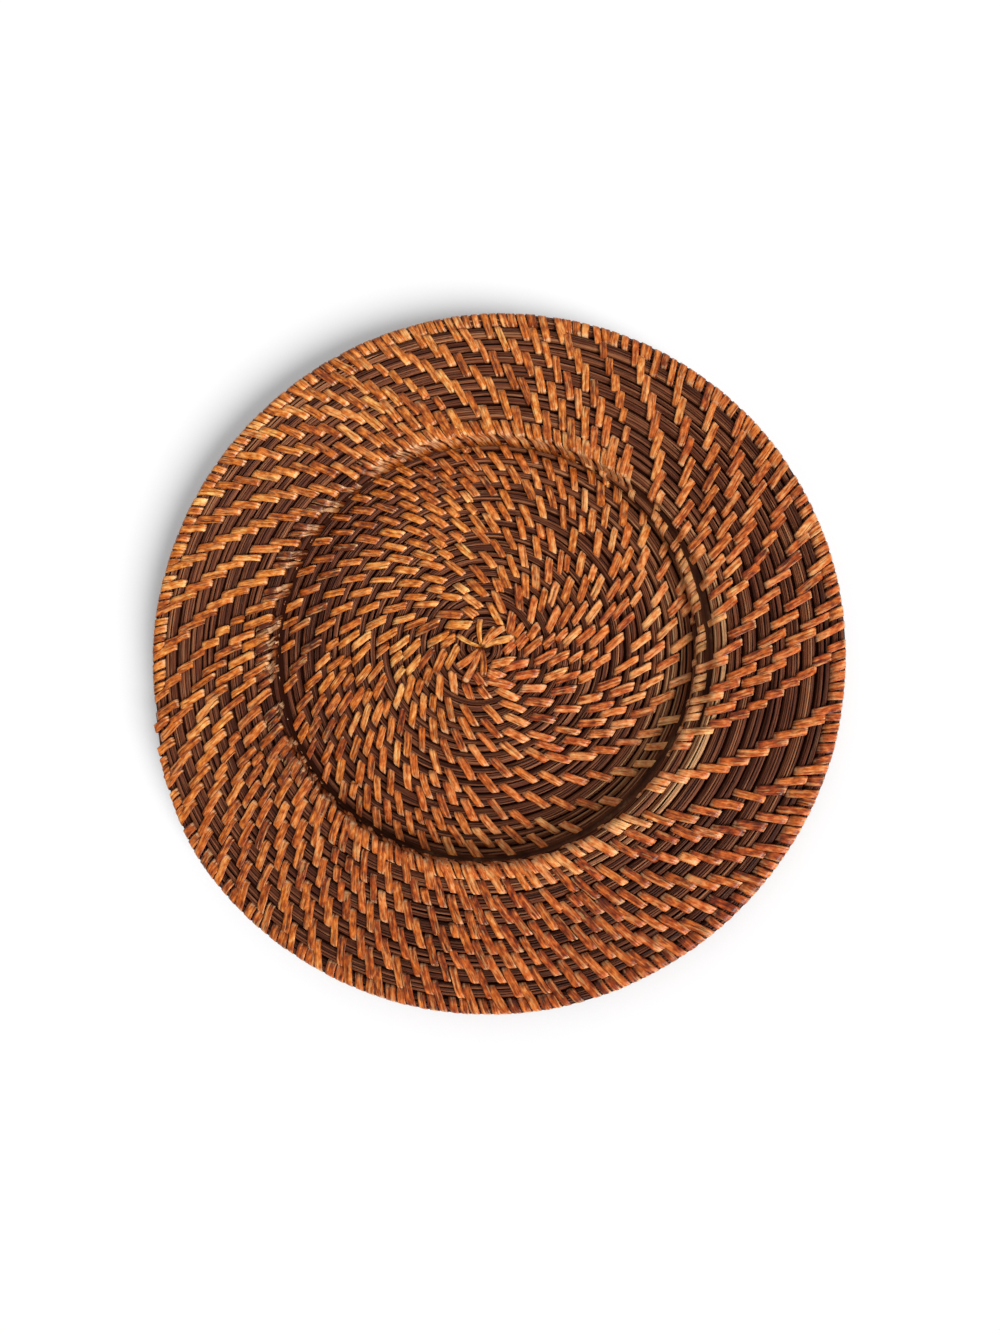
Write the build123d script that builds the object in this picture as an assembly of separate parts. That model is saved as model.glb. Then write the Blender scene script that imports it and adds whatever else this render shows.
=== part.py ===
"""Coiled rattan charger plate, top side up. Lengths are in millimetres.

A bundle of rattan splints is wound clockwise from the centre. It makes a flat floor,
climbs one row to make the wall of the well, climbs again to the step, and then runs
outward as a flat rim. Flat strips of cane lash each row to the row inside it.
The origin is on the table, under the middle of the plate's outline.
"""

import math
import os
from heapq import heappop, heappush

from build123d import *

# The coil of splints
ROW_PITCH = 6.4  # from one row to the next, seen from above
COIL_WIDTH = 5.8
COIL_HEIGHT = 6.0
COIL_SHOULDER = 1.2  # how far the rounded sides of the bundle lean in at top and bottom
STACK_GAP = 0.45  # between rows that lie one on the other
SPLICE_GAP = 0.35  # by which each piece of the coil is drawn in at its ends
EYE_RADIUS = 1.35  # radius that the spiral would have before its first turn
CHORDS_PER_TURN = 32

# Turns are counted from the direction of +X, clockwise
START_CHORDS = 17
FLOOR_TURNS = 16
RIM_TURNS = 9
SEAM_CHORDS = 4  # past +X, where the coil changes level
TAIL_CHORDS = 11  # past the seam, where the coil ends at the edge
CLIMB_CHORDS = 5  # last part of a turn, in which the coil climbs a level
SHIFT_CHORDS = 5  # part before that, in which the step turn moves outward
SPIRAL_SHARE_STEP = 0.25  # how far the step turn, and each turn after it, is a true spiral
TAIL_SCARF = 70.0  # length over which the end of the bundle is thinned
TAIL_TIP = 1.2  # width left at the very end

# The cane strips
STRIP_WIDTH = 3.0
STRIP_CROWN = 0.55
STRIP_SEAT = 0.05  # clearance under a strip
STRIP_SEPARATION = 4.1  # between a strip and the one that the next row lays beside it
LEAN_FLOOR = 35.0  # degrees from the radius
LEAN_RIM = 20.0
REACH_OUT = 0.42  # in rows, from the middle of the row that a strip holds
REACH_FLOOR = 1.1  # towards the centre, over the row inside
REACH_RIM = 1.4
REACH_SHORT = 0.42  # least, where a long strip would lie on another
SHORTENINGS = 4  # steps in which a strip is shortened until it is clear
STRIP_CLEAR = 0.1  # least distance between strips, seen from above
HUB_STRIPS = 8  # that hold the first turns together at the centre
HUB_INSIDE = 4.0  # radius
HUB_OUTSIDE = 9.9
FIRST_TURN = 1.8  # first strip outside the hub
STRIPS_IN_TURN = {1: 10, 3: 13, 6: 22, 9: 28, 11: 37, 15: 39, 16: 46, 18.2: 46, 18.6: 57}
STRIPS_AT_EDGE = 66
ADD_AFTER = 2  # fewest strips between two that are added
WIDE_AT_FIRST = 1.4  # gap in which a strip is added, as a share of the mean gap
WIDE_FALL = 0.07  # by how much less does, for each gap since the last one
ADD_PLACE = 0.42  # of an added strip, as a share of the gap, from the strip that follows it
EVEN_OUT = 0.5  # share of the way to the middle that an arm moves in a row
MOST_NUDGE = 0.9
STEP_WRAPS = 5.5  # spacing of wraps that go round one row only
EDGE_WRAPS = 4.4
STEP_WRAP_ASIDE = 0.2  # from the middle of the gap, clear of the strips of the next row
WALL_REVEAL = 0.8  # strip ends on the wall, in from the rows that they hold

FULL_TURN = 2 * math.pi
SEAM = SEAM_CHORDS / CHORDS_PER_TURN
CLIMB = CLIMB_CHORDS / CHORDS_PER_TURN
SHIFT = SHIFT_CHORDS / CHORDS_PER_TURN
START_TURN = START_CHORDS / CHORDS_PER_TURN
WALL_TURN = FLOOR_TURNS + SEAM
STEP_TURN = WALL_TURN + 1
RIM_TURN = STEP_TURN + 1
END_TURN = STEP_TURN + RIM_TURNS + TAIL_CHORDS / CHORDS_PER_TURN
EDGE_TURN = END_TURN - 1
SHIFT_END = 1 - CLIMB
SHIFT_START = SHIFT_END - SHIFT
LEVEL = COIL_HEIGHT + STACK_GAP


def ease(share):
    """Smooth step from 0 to 1."""
    share = min(1.0, max(0.0, share))
    return share * share * (3 - 2 * share)


def spiral_radius(turn):
    return EYE_RADIUS + ROW_PITCH * turn


WALL_RADIUS = spiral_radius(WALL_TURN)
END_RADIUS = WALL_RADIUS + ROW_PITCH * (END_TURN - STEP_TURN)
SCARF_TURN = END_TURN - TAIL_SCARF / (FULL_TURN * END_RADIUS)


def coil_radius(turn):
    """Radius of the middle of the coil after so many turns."""
    if turn <= WALL_TURN:
        return spiral_radius(turn)
    if turn <= STEP_TURN:
        return WALL_RADIUS
    row, part = divmod(turn - STEP_TURN, 1)
    part = min(1.0, part / SHIFT_END)
    sudden = ease((part * SHIFT_END - SHIFT_START) / SHIFT)
    steady = min(1.0, SPIRAL_SHARE_STEP * (row + 1))
    return WALL_RADIUS + ROW_PITCH * (row + steady * part + (1 - steady) * sudden)


def coil_level(turn):
    """Levels climbed: 0 in the floor, 1 in the wall, 2 in the step and the rim."""
    return sum(ease((turn - top) / CLIMB + 1) for top in (WALL_TURN, STEP_TURN))


def polar(radius, angle):
    return Vector(radius * math.cos(angle), radius * math.sin(angle))


def coil_point(turn, up=0.5):
    """Point in the coil, with up from 0 at its underside to 1 at its top."""
    height = LEVEL * coil_level(turn) + COIL_HEIGHT * up
    return polar(coil_radius(turn), -FULL_TURN * turn) + Vector(0, 0, height)


def coil_path(first, last):
    """Corners of the path of a piece of the coil, drawn in a little at both ends."""
    count = round((last - first) * CHORDS_PER_TURN)
    points = [coil_point(first + i / CHORDS_PER_TURN) for i in range(count + 1)]
    points[0] += (points[1] - points[0]).normalized() * SPLICE_GAP
    points[-1] += (points[-2] - points[-1]).normalized() * SPLICE_GAP
    return points


def coil_section(plane):
    """Six-sided section: flat top and underside, sides that lean out to the middle."""
    half, top = COIL_WIDTH / 2, COIL_HEIGHT / 2
    flat = half - COIL_SHOULDER
    corners = [(-half, 0), (-flat, -top), (flat, -top), (half, 0), (flat, top), (-flat, top)]
    return Face(Wire.make_polygon([plane.from_local_coords(c) for c in corners], close=True))


def make_coil(first, last):
    """One unbroken tube along the coil, from one turn to another."""
    points = coil_path(first, last)
    path = Polyline(*points)
    along = path % 0
    plane = Plane(origin=points[0], x_dir=Vector(0, 0, 1).cross(along), z_dir=along)
    return sweep(coil_section(plane), path=path, transition=Transition.RIGHT)


def scarfed(coil):
    """The rim coil with its outer side cut away towards its end."""
    end, before = coil_point(END_TURN), coil_point(END_TURN - 1 / CHORDS_PER_TURN)
    along = (end - before).normalized()
    outward = (end - Vector(0, 0, end.Z)).normalized()
    tip = end + outward * (TAIL_TIP - COIL_WIDTH / 2)
    start = end - along * TAIL_SCARF + outward * (COIL_WIDTH / 2)
    cut_along = (tip - start).normalized()
    plane = Plane(origin=start, x_dir=cut_along, z_dir=(0, 0, 1))
    if plane.y_dir.dot(outward) < 0:
        plane = Plane(origin=start, x_dir=cut_along, z_dir=(0, 0, -1))
    size = TAIL_SCARF * 2
    cutter = Box(size, size, LEVEL * 2, align=(Align.MIN, Align.MIN, Align.CENTER))
    return coil - plane.location * cutter


def lean_at(turn):
    return math.radians(LEAN_FLOOR if turn < WALL_TURN else LEAN_RIM)


def strips_wanted(turn):
    """How many strips a row has, between the turns at which they were counted."""
    if turn > EDGE_TURN:
        return STRIPS_AT_EDGE
    counted = list(STRIPS_IN_TURN.items())
    for (before, few), (after, many) in zip(counted, counted[1:]):
        if turn < after:
            return few + (many - few) * (turn - before) / (after - before)
    return counted[-1][1]


def one_beside(turn):
    """Place in the next row of a strip laid beside the one at this turn."""
    lean = lean_at(turn)
    sideways = ROW_PITCH * math.tan(lean) + STRIP_SEPARATION / math.cos(lean)
    return turn + 1 - sideways / (FULL_TURN * coil_radius(turn))


def lashing_turns():
    """Where along the coil each long strip is, as numbers of turns.

    Each strip is laid beside the one that holds the row inside, so the strips make arms
    that swirl outward. Arms are added as the rows grow longer, in gaps that are wide, and
    from row to row each arm moves a little towards the middle of its neighbours.
    """
    first = one_beside(FIRST_TURN) - FIRST_TURN
    count = STRIPS_IN_TURN[1]
    arms = [FIRST_TURN + first * i / count for i in range(count)]
    turns, since_added = [], 0
    while arms[0] < END_TURN:
        turn = heappop(arms)
        gap = turn - turns[-1] if turns else 0
        even_gap = (one_beside(turn) - turn) / (len(arms) + 2)
        wide = gap > even_gap * (WIDE_AT_FIRST - WIDE_FALL * since_added)
        if wide and even_gap > 1 / strips_wanted(turn) and since_added >= ADD_AFTER:
            found = [turn - gap * ADD_PLACE, turn]
            since_added = 0
        else:
            found = [turn]
            since_added += 1
        for here in found:
            if turns:
                before, last = (turns[-2:] if len(turns) > 1 else turns * 2)
                way = FULL_TURN * coil_radius(last)
                uneven = (here + before - 2 * last) * way * EVEN_OUT if before < last else 0
                nudge = max(-MOST_NUDGE, min(MOST_NUDGE, uneven))
                heappush(arms, one_beside(last) + nudge / way)
            turns.append(here)
    return turns


def strip_ends(turn, reach_in, reach_out, lean):
    """Inner and outer end of a strip over the coil, with reaches in rows from its middle."""
    angle = -FULL_TURN * turn
    outward, sideways = polar(ROW_PITCH, angle), polar(ROW_PITCH, angle + FULL_TURN / 4)
    middle = coil_point(turn, up=1)
    drift = sideways * (reach_in + reach_out) * math.tan(lean)
    return middle - outward * reach_in - drift, middle + outward * reach_out


def plan_corners(start, end):
    """Corners of a strip seen from above, clockwise."""
    along = (end - start).normalized()
    half = Vector(-along.Y, along.X) * STRIP_WIDTH / 2
    return [(p.X, p.Y) for p in (start + half, end + half, end - half, start - half)]


def apart(corners, others):
    """Whether a strip is clear of another: one has a side with all of the other outside."""
    for shape, other in ((corners, others), (others, corners)):
        for (x, y), (next_x, next_y) in zip(shape, shape[1:] + shape[:1]):
            out_x, out_y = y - next_y, next_x - x
            most = STRIP_CLEAR * math.hypot(out_x, out_y)
            if min((a - x) * out_x + (b - y) * out_y for a, b in other) > most:
                return True
    return False


def lay(laid, name, ends):
    """Add a strip to those laid, unless it would touch one. Says whether it was added."""
    corners = plan_corners(*ends)
    span = math.dist(corners[0], corners[2]) + STRIP_CLEAR
    near = [c for _, _, c in laid if math.dist(c[0], corners[0]) < math.dist(c[0], c[2]) + span]
    clear = all(apart(corners, other) for other in near)
    if clear:
        laid.append((name, ends, corners))
    return clear


def row_name(turn):
    if turn < WALL_TURN:
        return f"floor_lashing_{int(turn - SEAM):02d}"
    if turn < RIM_TURN:
        return "step_lashing"
    return f"rim_lashing_{int(turn - RIM_TURN) + 1:02d}" if turn < EDGE_TURN else "edge_lashing"


def lay_strips(turns):
    """Every strip on the top of the plate, with its node name and ends."""
    laid = []
    for i in range(HUB_STRIPS):
        angle = -FULL_TURN * i / HUB_STRIPS
        ends = [polar(radius, angle) + Vector(0, 0, COIL_HEIGHT) for radius in (HUB_INSIDE, HUB_OUTSIDE)]
        lay(laid, "hub_lashing", ends)
    wall_face = WALL_RADIUS - COIL_WIDTH / 2 - STRIP_CROWN
    for turn in turns:
        if WALL_TURN - CLIMB < turn < STEP_TURN or turn > SCARF_TURN:
            continue
        on_floor, on_step = turn < WALL_TURN, STEP_TURN < turn < RIM_TURN
        out = min(REACH_OUT, (wall_face - coil_radius(turn)) / ROW_PITCH) if on_floor else REACH_OUT
        long = REACH_SHORT if on_step else REACH_FLOOR if on_floor else REACH_RIM
        for shorter in range(SHORTENINGS + 1):
            reach = long + (REACH_SHORT - long) * shorter / SHORTENINGS
            if lay(laid, row_name(turn), strip_ends(turn, reach, out, lean_at(turn))):
                break
    for name, first, last, spacing, aside in (
        ("step_wraps", STEP_TURN, RIM_TURN, STEP_WRAPS, STEP_WRAP_ASIDE),
        ("edge_wraps", EDGE_TURN, SCARF_TURN, EDGE_WRAPS, 0),
    ):
        for turn, after in zip(turns, turns[1:]):
            if first <= turn and after < last:
                count = int((after - turn) * FULL_TURN * coil_radius(turn) / spacing)
                for i in range(1, count):
                    here = turn + (after - turn) * (i - aside) / count
                    lay(laid, name, strip_ends(here, REACH_SHORT, REACH_SHORT, lean_at(here)))
    return laid


def strip(start, end, up):
    """A crowned strip of cane on its seat, from start to end."""
    plane = Plane(origin=start + up * STRIP_SEAT, x_dir=end - start, z_dir=up)
    half = STRIP_WIDTH / 2
    corners = [(0, -half, 0), (0, half, 0), (0, 0, STRIP_CROWN)]
    profile = Face(Wire.make_polygon([plane.from_local_coords(c) for c in corners], close=True))
    return Solid.extrude(profile, end - start)


def upright(turn, face_radius, low, high):
    """A strip up the inner side of the wall, whose face has the given radius."""
    foot = polar(face_radius, -FULL_TURN * turn) + Vector(0, 0, low)
    return strip(foot, foot + Vector(0, 0, high - low), polar(-1, -FULL_TURN * turn))


def least_gap(points):
    """Smallest clear distance from a coil to itself, on points along its path."""
    fine = [a + (b - a) * (i / 4) for a, b in zip(points, points[1:]) for i in range(4)]
    spots, turn = [(p.X, p.Y, p.Z) for p in fine], CHORDS_PER_TURN * 4
    gaps = []
    for i, (x, y, z) in enumerate(spots):
        for a, b, c in spots[i + turn * 3 // 4 : i + turn * 5 // 4]:
            width = COIL_WIDTH / math.cos(math.pi / CHORDS_PER_TURN)
            gaps.append(max(math.hypot(a - x, b - y) - width, abs(c - z) - COIL_HEIGHT))
    return min(gaps, default=STACK_GAP)


def main():
    os.makedirs("parts", exist_ok=True)
    spans = {
        "floor_coil": (START_TURN, WALL_TURN - CLIMB),
        "wall_coil": (WALL_TURN - CLIMB, STEP_TURN - CLIMB),
        "rim_coil": (STEP_TURN - CLIMB, END_TURN),
    }
    nodes = {name: make_coil(*span) for name, span in spans.items()}
    nodes["rim_coil"] = scarfed(nodes["rim_coil"])
    for name, span in spans.items():
        print(name, "least gap to itself", round(least_gap(coil_path(*span)), 3))

    turns = lashing_turns()
    strips = {}
    for name, ends, _ in lay_strips(turns):
        strips.setdefault(name, []).append(strip(*ends, Vector(0, 0, 1)))
    face = WALL_RADIUS - COIL_WIDTH / 2
    low, high = LEVEL + WALL_REVEAL, LEVEL * 2 + COIL_HEIGHT - WALL_REVEAL
    on_wall = [turn for turn in turns if WALL_TURN <= turn < STEP_TURN - CLIMB - SHIFT]
    strips["wall_lashing"] = [upright(turn, face, low, high) for turn in on_wall]
    nodes.update({name: Compound(pieces) for name, pieces in strips.items()})

    outline = nodes["rim_coil"].bounding_box()
    middle = (outline.min + outline.max) / 2
    to_origin = Location((-middle.X, -middle.Y, 0))
    print("outline", outline.size.X, outline.size.Y, "spiral centre at", -middle.X, -middle.Y)
    for name, shape in nodes.items():
        export_step(to_origin * shape, f"parts/{name}.step")
    print("strips", sum(len(pieces) for pieces in strips.values()), "nodes", len(nodes))


main()
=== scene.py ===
"""Looks of the coiled charger plate: bundled splints, stitched with strips of cane.

Lengths are in millimetres, and become metres in new_mesh. Places along the coil are in turns,
counted clockwise from +X, as in the solids. Places across it are in rows, outward from the middle
of a row, and heights are over the underside of the row's level.
"""

import math
from heapq import heappop, heappush

import bpy
import numpy as np
from mathutils import Matrix, Vector


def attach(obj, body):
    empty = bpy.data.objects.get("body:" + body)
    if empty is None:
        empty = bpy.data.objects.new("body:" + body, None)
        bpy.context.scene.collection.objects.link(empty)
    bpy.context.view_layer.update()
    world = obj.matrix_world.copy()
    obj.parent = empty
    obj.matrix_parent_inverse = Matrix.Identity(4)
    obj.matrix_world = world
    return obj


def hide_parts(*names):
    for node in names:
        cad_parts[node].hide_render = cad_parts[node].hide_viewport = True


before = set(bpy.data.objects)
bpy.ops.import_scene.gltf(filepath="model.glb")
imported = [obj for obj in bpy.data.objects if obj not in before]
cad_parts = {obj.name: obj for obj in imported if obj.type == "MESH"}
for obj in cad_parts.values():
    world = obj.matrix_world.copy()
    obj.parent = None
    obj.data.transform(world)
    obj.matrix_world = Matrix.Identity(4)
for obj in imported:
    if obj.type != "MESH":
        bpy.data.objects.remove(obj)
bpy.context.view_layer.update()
rng = np.random.default_rng(7)

MM = 0.001
FULL_TURN = 2 * math.pi
CENTRE = np.array([-1.778, 1.304, 0.0])  # of the spiral, from the middle of the outline

# The coil, as in the solids
ROW_PITCH = 6.4
LEVEL = 6.45  # from one level to the next
EYE_RADIUS = 1.35
CHORD = 1 / 32  # of a turn, in which the solids are measured out
SEAM = 4 * CHORD
CLIMB = 5 * CHORD  # in which the coil climbs a level
SHIFT = 5 * CHORD  # before that, in which a row of the rim moves outward
START_TURN = 3 * CHORD
WALL_TURN = 16 + SEAM
STEP_TURN = WALL_TURN + 1
RIM_TURN = STEP_TURN + 1
END_TURN = STEP_TURN + 9 + 11 * CHORD
EDGE_TURN = END_TURN - 1
SHIFT_END = 1 - CLIMB
SHIFT_START = SHIFT_END - SHIFT
SPIRAL_SHARE_STEP = 0.25  # by which the steady share of a rim row's move outward grows
WALL_RADIUS = EYE_RADIUS + ROW_PITCH * WALL_TURN
TAIL = 70 / (FULL_TURN * (WALL_RADIUS + ROW_PITCH * (END_TURN - STEP_TURN)))  # its thinned end
TAIL_TIP = 0.06  # share of its width left at the very end

# Unevenness: waves in a turn, with their shares
WAVES = ((2.3, 0.5), (5.7, 0.3), (12.9, 0.2))

# Where the long strips are, as in the solids
STRIP_SEPARATION = 4.1  # from the middle of one to that of the one beside it
LEAN_FLOOR, LEAN_RIM = 35.0, 20.0  # in degrees
FIRST_TURN = 1.8
STRIPS_IN_TURN = {1: 10, 3: 13, 6: 22, 9: 28, 11: 37, 15: 39, 16: 46, 18.2: 46, 18.6: 57}
STRIPS_AT_EDGE = 66
ADD_AFTER, ADD_PLACE = 2, 0.42  # strips between two added ones, and where in a gap one is added
WIDE_AT_FIRST, WIDE_FALL = 1.4, 0.07  # even gaps in a wide one, and the fall for each strip since
EVEN_OUT, MOST_NUDGE = 0.5, 0.9  # share by which a strip is moved to even out gaps, at most in mm

# How far in they reach, in rows, and how near they may come to others
REACH_FLOOR, REACH_RIM, REACH_LEAST = 1.06, 1.42, 0.45
SHORTER = (1, 0.85, 0.7, 0.55)  # shares of the reach that are tried in turn
REACH_OUT = 0.4  # where they are taken to start, on the outer side of their row
LEAN_ORIGIN = 0.42  # where their lean starts from
LEAST_APART = 3.3
APART_AT_START, START_ENDS = 0.8, 4  # share of it in the first turns
STILL_APART = 0.62  # share of it, under which a strip is left out
NEIGHBOURS = 110  # strips laid before, among which one may be too near
# The step is wrapped from just before the climb to it until its own row moves outward
WRAPS_START = STEP_TURN - CLIMB - SHIFT * 0.6
WRAPS_END = RIM_TURN - CLIMB - SHIFT * 0.5
# The start: strips that come together in one point, as direction in degrees, reach and width
HUB = [(91, 14.4, 2.6), (52, 12.0, 2.7), (38, 15.5, 3.0), (13, 17.0, 3.6), (-88, 14.4, 3.2),
       (-117, 19.5, 3.4), (-142, 15.6, 3.5), (151, 13.8, 2.2)]


def srgb(r, g, b):
    """Linear colour from the 0 to 255 values that a picture shows."""
    c = np.array([r, g, b]) / 255
    return tuple(np.where(c <= 0.04045, c / 12.92, ((c + 0.055) / 1.055) ** 2.4)) + (1.0,)


def ease(share):
    """Smooth step from 0 to 1."""
    share = np.clip(share, 0, 1)
    return share * share * (3 - 2 * share)


def coil_radius(turn):
    """Radius of the middle of the coil."""
    turn = np.asarray(turn, float)
    row, part = np.divmod(np.maximum(turn - STEP_TURN, 0), 1)
    part = np.minimum(1, part / SHIFT_END)
    sudden = ease((part * SHIFT_END - SHIFT_START) / SHIFT)
    steady = np.minimum(1, SPIRAL_SHARE_STEP * (row + 1))
    outer = WALL_RADIUS + ROW_PITCH * (row + steady * part + (1 - steady) * sudden)
    return np.where(turn < STEP_TURN, EYE_RADIUS + ROW_PITCH * np.minimum(turn, WALL_TURN), outer)


def coil_level(turn):
    """Levels climbed: 0 in the floor, 1 in the wall, 2 in the rim."""
    turn = np.asarray(turn, float)
    return sum(ease((turn - top) / CLIMB + 1) for top in (WALL_TURN, STEP_TURN))


def wobble(turn, seed, size):
    """Slow unevenness along the coil."""
    turn = np.asarray(turn, float)
    return size * sum(a * np.sin(FULL_TURN * f * turn + seed * (7.1 + f)) for f, a in WAVES)


def fullness(turn):
    """Share of its width that the bundle has, which is thinned at its end."""
    turn = np.asarray(turn, float)
    return np.clip((END_TURN - turn) / TAIL, TAIL_TIP, 1)


def row_middle(turn):
    """Radius and base height of the row at a turn, with its unevenness."""
    return (
        coil_radius(turn) + wobble(turn, seed=1.3, size=0.28),
        LEVEL * coil_level(turn) + wobble(turn, seed=4.7, size=0.12),
    )


def place(turn, radius, side, height):
    """World points, in mm, from radius and a sideways (anticlockwise) distance at a turn."""
    angle = -FULL_TURN * np.asarray(turn, float)
    c, s = np.cos(angle), np.sin(angle)
    points = np.stack([radius * c - side * s, radius * s + side * c, height + 0 * radius], -1)
    return points + CENTRE


def strips_wanted(turn):
    """How many strips a row has, between the turns at which they were counted."""
    if turn > EDGE_TURN:
        return STRIPS_AT_EDGE
    counted = list(STRIPS_IN_TURN.items())
    for (before, few), (after, many) in zip(counted, counted[1:]):
        if turn < after:
            return few + (many - few) * (turn - before) / (after - before)
    return counted[-1][1]


def lean_at(turn):
    """How far strips lean over, in radians."""
    return np.radians(np.where(np.asarray(turn) < WALL_TURN, LEAN_FLOOR, LEAN_RIM))


def one_beside(turn):
    """Place in the next row of a strip laid beside the one at this turn."""
    lean = float(lean_at(turn))
    sideways = ROW_PITCH * math.tan(lean) + STRIP_SEPARATION / math.cos(lean)
    return turn + 1 - sideways / (FULL_TURN * float(coil_radius(turn)))


def lashing_turns():
    """Where along the coil each long strip is."""
    first = one_beside(FIRST_TURN) - FIRST_TURN
    count = STRIPS_IN_TURN[1]
    arms = [FIRST_TURN + first * i / count for i in range(count)]
    turns, since_added = [], 0
    while arms[0] < END_TURN:
        turn = heappop(arms)
        gap = turn - turns[-1] if turns else 0
        even_gap = (one_beside(turn) - turn) / (len(arms) + 2)
        wide = gap > even_gap * (WIDE_AT_FIRST - WIDE_FALL * since_added)
        if wide and even_gap > 1 / strips_wanted(turn) and since_added >= ADD_AFTER:
            found = [turn - gap * ADD_PLACE, turn]
            since_added = 0
        else:
            found = [turn]
            since_added += 1
        for here in found:
            if turns:
                before, last = turns[-2:] if len(turns) > 1 else turns * 2
                way = FULL_TURN * float(coil_radius(last))
                uneven = (here + before - 2 * last) * way * EVEN_OUT if before < last else 0
                nudge = max(-MOST_NUDGE, min(MOST_NUDGE, uneven))
                heappush(arms, one_beside(last) + nudge / way)
            turns.append(here)
    return np.array(turns)


def clear_reaches(turns, hub):
    """How far in each strip reaches: as far as it can, clear of those before, or 0 if it can't."""
    reaches, laid = np.zeros(len(turns)), [hub]
    share = np.linspace(0, 1, 7)
    for i, turn in enumerate(turns):
        if WALL_TURN < turn < WRAPS_END:  # round their own rows only
            reaches[i], laid = REACH_LEAST, [hub]
            continue
        full = REACH_FLOOR if turn < WALL_TURN else REACH_RIM
        least = LEAST_APART * (APART_AT_START if turn < START_ENDS else 1)
        others = np.concatenate(laid[-NEIGHBOURS:])
        for reach in (*(full * shorter for shorter in SHORTER), REACH_LEAST):
            x = REACH_OUT - (REACH_OUT + reach) * share
            side = -ROW_PITCH * (LEAN_ORIGIN - x) * math.tan(float(lean_at(turn)))
            line = place(turn, float(coil_radius(turn)) + ROW_PITCH * x, side, 0 * x)[:, :2]
            across = np.linalg.norm(others[:, None] - line[None], axis=2).min()
            if across > least:
                break
        if across > least * STILL_APART:
            reaches[i] = reach
            laid.append(line)
    return reaches


TURNS = lashing_turns()
hub_points = np.array([
    (r * math.cos(math.radians(a)), r * math.sin(math.radians(a)))
    for a, reach, _ in HUB for r in np.arange(2, reach, 1.5)
]) + CENTRE[:2]
REACHES = clear_reaches(TURNS, hub_points)
TURNS, REACHES = TURNS[REACHES > 0], REACHES[REACHES > 0]


# Meshes
def new_mesh(name, points, quads, caps, look, grain, material, nodes):
    """An object from points in mm, with its attributes for the shaders.

    look is tone, hue, place across from 0 to 1, and depth in a crevice, from which the shaders
    paint shade, and the cane's highlights at its bends. grain is mm across, mm along, and a number
    of the piece's own.
    """
    mesh = bpy.data.meshes.new(name)
    loops = np.concatenate([quads.ravel(), *caps])
    sizes = np.concatenate([np.full(len(quads), 4), [len(c) for c in caps]]).astype(np.int32)
    mesh.vertices.add(len(points))
    mesh.vertices.foreach_set("co", (np.asarray(points) * MM).astype(np.float32).ravel())
    mesh.loops.add(len(loops))
    mesh.loops.foreach_set("vertex_index", loops.astype(np.int32))
    mesh.polygons.add(len(sizes))
    starts = np.concatenate([[0], np.cumsum(sizes)[:-1]]).astype(np.int32)
    mesh.polygons.foreach_set("loop_start", starts)
    mesh.polygons.foreach_set("use_smooth", np.ones(len(sizes), bool))
    mesh.update(calc_edges=True)
    mesh.validate()
    a = mesh.attributes.new("look", "FLOAT_COLOR", "POINT")
    a.data.foreach_set("color", look.astype(np.float32).ravel())
    a = mesh.attributes.new("grain", "FLOAT_VECTOR", "POINT")
    a.data.foreach_set("vector", np.asarray(grain).astype(np.float32).ravel())
    mesh.materials.append(material)
    obj = bpy.data.objects.new(name, mesh)
    bpy.context.scene.collection.objects.link(obj)
    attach(obj, "root")
    if nodes:
        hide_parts(*nodes)
    return obj


def tube_quads(count, stations, around):
    """Quads of several tubes, each of so many stations round a section, and their caps."""
    i = np.arange(stations - 1)[:, None] * around
    j = np.arange(around)[None, :]
    k = (j + 1) % around
    one = np.stack([i + j, i + k, i + around + k, i + around + j], -1).reshape(-1, 4)
    size = stations * around
    quads = (one[None] + (np.arange(count) * size)[:, None, None]).reshape(-1, 4)
    ends = [np.arange(around)[::-1], np.arange(around) + size - around]
    caps = [end + n * size for n in range(count) for end in ends]
    return quads, caps


def ribbons(name, path, out, width, thick, look, nodes):
    """An object of crowned strips along paths of shape (strips, stations, 3).

    out is the outward direction of the strips' faces. look has a tone and a hue for each
    strip, and a depth for each of its stations.
    """
    along = np.gradient(path, axis=1)
    along /= np.linalg.norm(along, axis=2, keepdims=True)
    side = np.cross(along, out)
    side /= np.linalg.norm(side, axis=2, keepdims=True)
    up = np.cross(side, along)
    u = np.array([-1, -0.96, -0.72, -0.25, 0.25, 0.72, 0.96, 1, 0.9, 0, -0.9])
    v = np.array([0.3, 0.72, 0.93, 1, 1, 0.93, 0.72, 0.3, 0, 0, 0])
    w = width[..., None] / 2
    points = (
        path[:, :, None]
        + side[:, :, None] * (u * w)[..., None]
        + up[:, :, None] * (v * thick[..., None])[..., None]
    )
    strips, stations, around = points.shape[:3]
    quads, caps = tube_quads(strips, stations, around)
    steps = np.linalg.norm(np.diff(path, axis=1), axis=2)
    grain = np.empty(points.shape)
    grain[..., 0] = u * w
    grain[..., 1] = np.concatenate([np.zeros((strips, 1)), np.cumsum(steps, 1)], 1)[:, :, None]
    grain[..., 2] = (rng.random(strips) * 400)[:, None, None]
    tone, hue, depth = look
    looks = np.empty(points.shape[:3] + (4,))
    looks[..., 0], looks[..., 1] = tone[:, None, None], hue[:, None, None]
    looks[..., 2], looks[..., 3] = np.abs(u), depth[..., None]
    return new_mesh(
        name, points.reshape(-1, 3), quads, caps, looks.reshape(-1, 4), grain.reshape(-1, 3),
        CANE, nodes,
    )


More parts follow.
